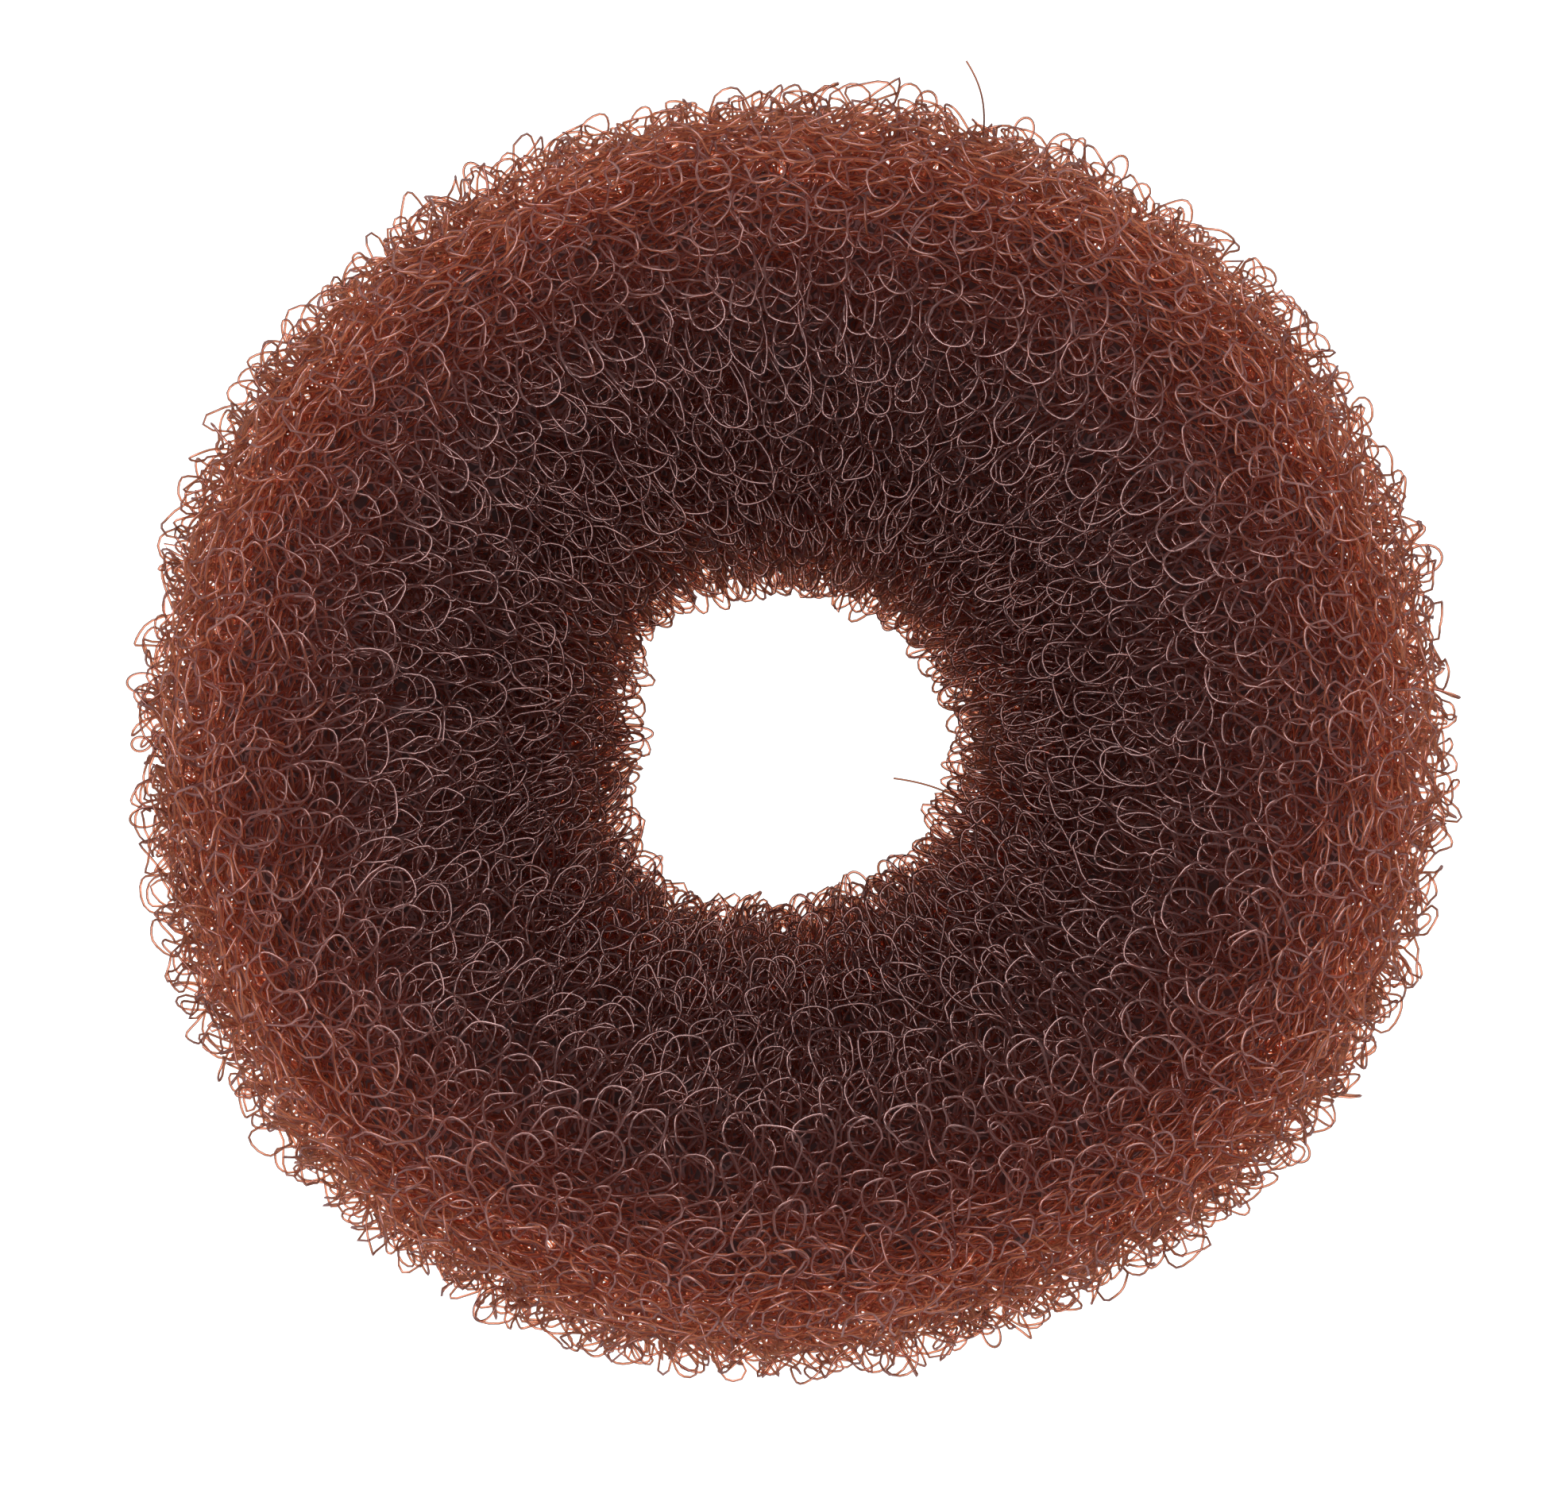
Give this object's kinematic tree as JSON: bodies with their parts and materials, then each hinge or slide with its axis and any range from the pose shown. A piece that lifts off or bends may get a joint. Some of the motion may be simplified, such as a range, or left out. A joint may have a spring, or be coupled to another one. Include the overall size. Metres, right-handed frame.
{
  "type": "hair donut bun maker",
  "caption": "Soft round ring of ribbed, looped nylon mesh, rolled up on itself, with a hole for a ponytail: hair is spread over it to form a bun.",
  "frame": {"origin": "under the middle of the ring's outline, on the surface that it rests on", "axes": "+Z up along the hole, out of the side seen in the picture; +X to the right and +Y up in the picture"},
  "size_m": [0.0904, 0.0888, 0.032],
  "materials": {
    "looped_knit": "loose looped knit of glossy, see-through brown nylon filament",
    "rolled_knit": "the same filament pressed together, so that it looks almost black"
  },
  "bodies": {
    "root": {"outer_turn": "looped_knit", "inner_roll": "rolled_knit"}
  },
  "joints": []
}
